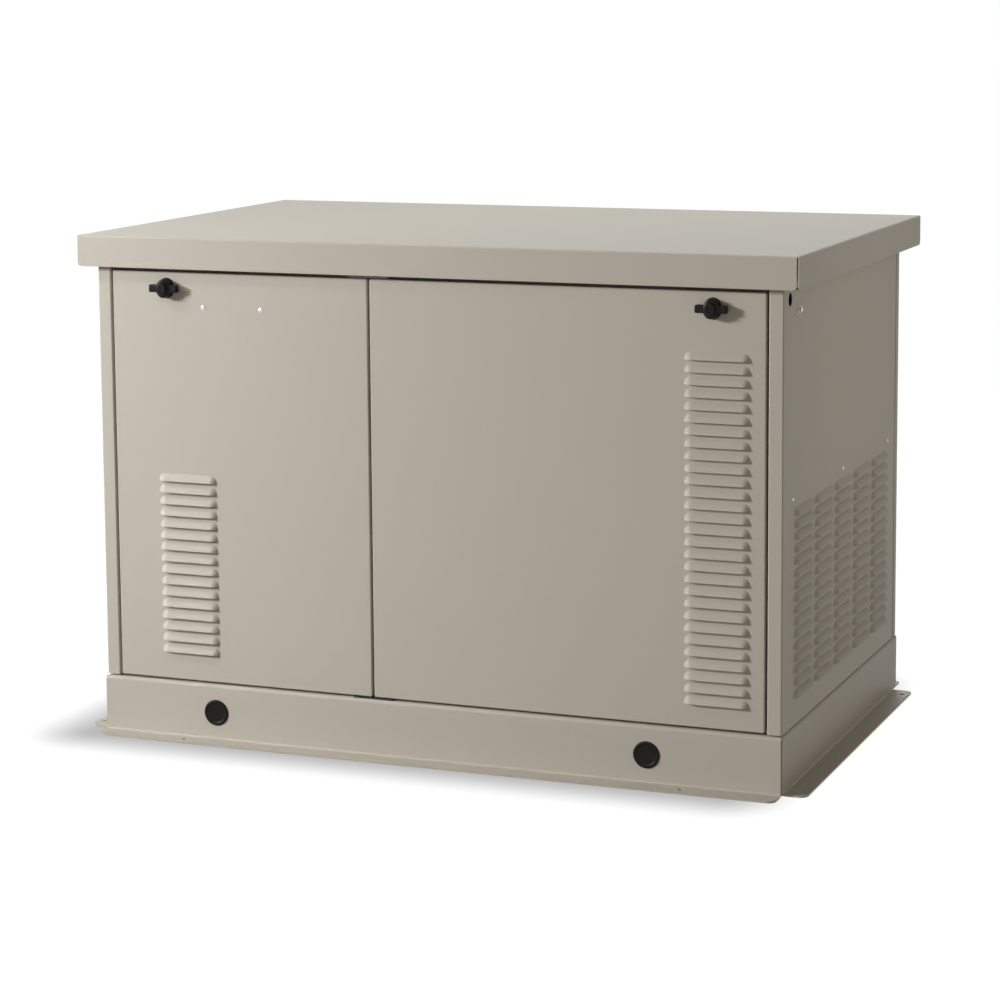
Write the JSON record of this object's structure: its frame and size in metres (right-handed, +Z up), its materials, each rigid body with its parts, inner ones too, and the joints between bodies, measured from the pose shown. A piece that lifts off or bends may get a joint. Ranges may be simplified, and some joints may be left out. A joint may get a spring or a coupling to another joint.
{
  "type": "home standby generator",
  "caption": "Boxy taupe sheet-metal cabinet with a hinged overhanging roof, two louvred doors and a flanged base, round an engine-driven alternator.",
  "frame": {"origin": "middle of the footprint, on the ground", "axes": "+Z up, front with the doors towards -Y, right end with the louvred side towards +X"},
  "size_m": [1.279, 0.828, 0.8555],
  "materials": {
    "cabinet_paint": "fine satin powder coat, warm taupe",
    "black_plastic": "moulded black plastic, satin",
    "dark_plastic": "moulded charcoal plastic",
    "white_plastic": "moulded white plastic",
    "yellow_plastic": "moulded yellow plastic",
    "galvanised": "galvanised sheet",
    "zinc_steel": "zinc-plated steel",
    "cast_aluminium": "die-cast aluminium, bead blasted",
    "cast_iron": "machined cast iron",
    "exhaust_steel": "aluminised exhaust steel",
    "black_paint": "black enamel on steel",
    "white_paint": "white enamel on steel",
    "foam": "charcoal acoustic foam",
    "mount_rubber": "black rubber bonded to steel",
    "cable_rubber": "rubber-covered battery cable",
    "plug_ceramic": "white ceramic",
    "filter_paper": "pleated filter paper",
    "fuel_brass": "brass and die-cast alloy"
  },
  "bodies": {
    "cabinet": {"base_front_rail": "cabinet_paint", "base_rear_rail": "cabinet_paint", "base_left_rail": "cabinet_paint", "base_right_rail": "cabinet_paint", "floor_pan": "galvanised", "lift_hole_plugs": "black_plastic", "left_side_panel": "cabinet_paint", "right_side_panel": "cabinet_paint", "rear_panel": "cabinet_paint", "front_top_rail": "cabinet_paint", "centre_mullion": "cabinet_paint", "divider_bulkhead": "galvanised", "control_partition": "galvanised", "roof_hinge_bases": "zinc_steel", "door_hinge_pins": "zinc_steel", "side_screws": "zinc_steel", "louvre_baffle": "galvanised", "crankcase": "cast_aluminium", "cylinder_front": "cast_aluminium", "cylinder_rear": "cast_aluminium", "valve_covers": "black_paint", "spark_plugs": "plug_ceramic", "blower_shroud": "black_plastic", "starter_motor": "black_paint", "oil_filter": "white_paint", "intake_manifold": "cast_aluminium", "fuel_mixer": "cast_aluminium", "air_cleaner_base": "black_plastic", "air_filter": "filter_paper", "air_cleaner_cover": "black_plastic", "exhaust_pipes": "exhaust_steel", "muffler": "exhaust_steel", "engine_skid": "black_paint", "vibration_mounts": "mount_rubber", "stator_housing": "cast_aluminium", "end_bracket": "cast_aluminium", "end_bearing": "zinc_steel", "controller_box": "dark_plastic", "circuit_breaker": "dark_plastic", "battery": "dark_plastic", "battery_tray": "black_paint", "battery_cables": "cable_rubber", "fuel_regulator": "fuel_brass"},
    "roof": {"roof": "cabinet_paint", "roof_lining": "foam", "roof_hinge_leaves": "zinc_steel", "prop_bracket": "zinc_steel"},
    "prop": {"prop_rod": "zinc_steel"},
    "left_door": {"left_door": "cabinet_paint", "left_door_rivets": "zinc_steel"},
    "right_door": {"right_door": "cabinet_paint"},
    "left_latch": {"left_latch": "black_plastic"},
    "right_latch": {"right_latch": "black_plastic"},
    "crank": {"crankshaft": "zinc_steel", "flywheel_fan": "cast_iron", "rotor": "cast_iron"},
    "mode_switch": {"mode_switch": "black_plastic"},
    "breaker_lever": {"breaker_lever": "white_plastic"},
    "oil_cap": {"oil_fill_cap": "yellow_plastic"},
    "air_cleaner_knob": {"air_cleaner_knob": "black_plastic"}
  },
  "joints": [
    {"name": "roof_hinge", "type": "hinge", "parent": "cabinet", "child": "roof", "pos_m": [0, 0.385, 0.8], "axis": [-1, 0, 0], "range_deg": [0, 60]},
    {"name": "prop_rod_swing", "type": "hinge", "parent": "roof", "child": "prop", "pos_m": [-0.57, 0.06, 0.836], "axis": [1, 0, 0], "range_deg": [0, 98.4]},
    {"name": "left_door_hinge", "type": "hinge", "parent": "cabinet", "child": "left_door", "pos_m": [-0.1166, -0.3655, 0.45], "axis": [0, 0, 1], "range_deg": [0, 85]},
    {"name": "right_door_hinge", "type": "hinge", "parent": "cabinet", "child": "right_door", "pos_m": [-0.0846, -0.3655, 0.45], "axis": [0, 0, -1], "range_deg": [0, 85]},
    {"name": "left_latch_turn", "type": "hinge", "parent": "left_door", "child": "left_latch", "pos_m": [-0.47, -0.3715, 0.769], "axis": [0, -1, 0], "range_deg": [0, 90]},
    {"name": "right_latch_turn", "type": "hinge", "parent": "right_door", "child": "right_latch", "pos_m": [0.486, -0.3715, 0.769], "axis": [0, 1, 0], "range_deg": [0, 90]},
    {"name": "crank_spin", "type": "hinge", "parent": "cabinet", "child": "crank", "pos_m": [0, 0.01, 0.275], "axis": [1, 0, 0], "continuous": true},
    {"name": "mode_switch_rock", "type": "hinge", "parent": "cabinet", "child": "mode_switch", "pos_m": [-0.502, -0.32397, 0.611], "axis": [1, 0, 0], "range_deg": [-12, 12]},
    {"name": "breaker_throw", "type": "hinge", "parent": "cabinet", "child": "breaker_lever", "pos_m": [-0.387, -0.31797, 0.499], "axis": [1, 0, 0], "range_deg": [0, 50]},
    {"name": "oil_cap_turn", "type": "hinge", "parent": "cabinet", "child": "oil_cap", "pos_m": [-0.023, -0.092, 0.375], "axis": [0, 0, 1], "range_deg": [0, 90]},
    {"name": "air_cleaner_knob_turn", "type": "hinge", "parent": "cabinet", "child": "air_cleaner_knob", "pos_m": [-0.092, 0.01, 0.665], "axis": [0, 0, 1], "continuous": true}
  ]
}
